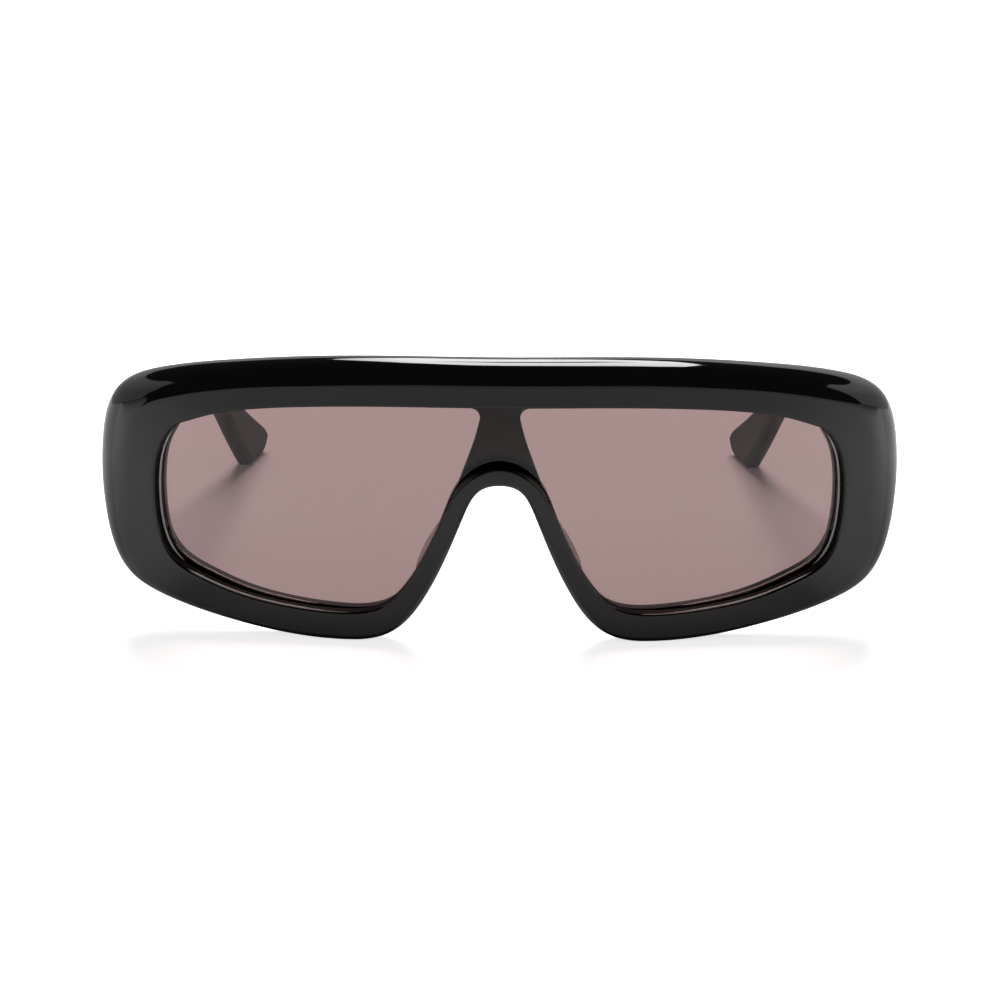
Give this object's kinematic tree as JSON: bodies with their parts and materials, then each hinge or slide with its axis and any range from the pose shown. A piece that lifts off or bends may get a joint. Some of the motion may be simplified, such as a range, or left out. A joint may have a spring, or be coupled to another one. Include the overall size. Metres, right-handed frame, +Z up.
{
  "type": "sunglasses",
  "caption": "Shield sunglasses: a thick glossy black wrapped front holds a tinted lens that runs across the face, with a post behind it, nose pads and temples that fold on metal hinges.",
  "frame": {"origin": "on the surface that the part stands on, under the middle of its width and of its length with the temples open", "axes": "the front faces -Y and the open temples run back along +Y, +X is the wearer's left, +Z is up"},
  "size_m": [0.1476, 0.16, 0.0547],
  "materials": {
    "acetate": "polished black",
    "lens": "clear mauve-brown tint",
    "hinge_metal": "satin nickel silver",
    "screw_metal": "bright steel",
    "core_metal": "plain wire"
  },
  "bodies": {
    "front": {"front_frame": "acetate", "shield_lens": "lens", "nose_pad_left": "acetate", "hinge_front_leaf_left": "hinge_metal", "front_leaf_screw_left_1": "screw_metal", "front_leaf_screw_left_2": "screw_metal", "hinge_screw_left": "hinge_metal", "nose_pad_right": "acetate", "hinge_front_leaf_right": "hinge_metal", "front_leaf_screw_right_1": "screw_metal", "front_leaf_screw_right_2": "screw_metal", "hinge_screw_right": "hinge_metal"},
    "left_temple": {"temple_left": "acetate", "core_wire_left": "core_metal", "hinge_temple_leaf_left": "hinge_metal", "temple_leaf_screw_left_1": "screw_metal", "temple_leaf_screw_left_2": "screw_metal"},
    "right_temple": {"temple_right": "acetate", "core_wire_right": "core_metal", "hinge_temple_leaf_right": "hinge_metal", "temple_leaf_screw_right_1": "screw_metal", "temple_leaf_screw_right_2": "screw_metal"}
  },
  "joints": [
    {"name": "left_temple_fold", "type": "hinge", "parent": "front", "child": "left_temple", "pos_m": [0.06452, -0.045, 0.03506], "axis": [0, 0.1132, 0.9936], "range_deg": [0, 85]},
    {"name": "right_temple_fold", "type": "hinge", "parent": "front", "child": "right_temple", "pos_m": [-0.06452, -0.045, 0.03506], "axis": [0, -0.1132, -0.9936], "range_deg": [0, 78]}
  ]
}
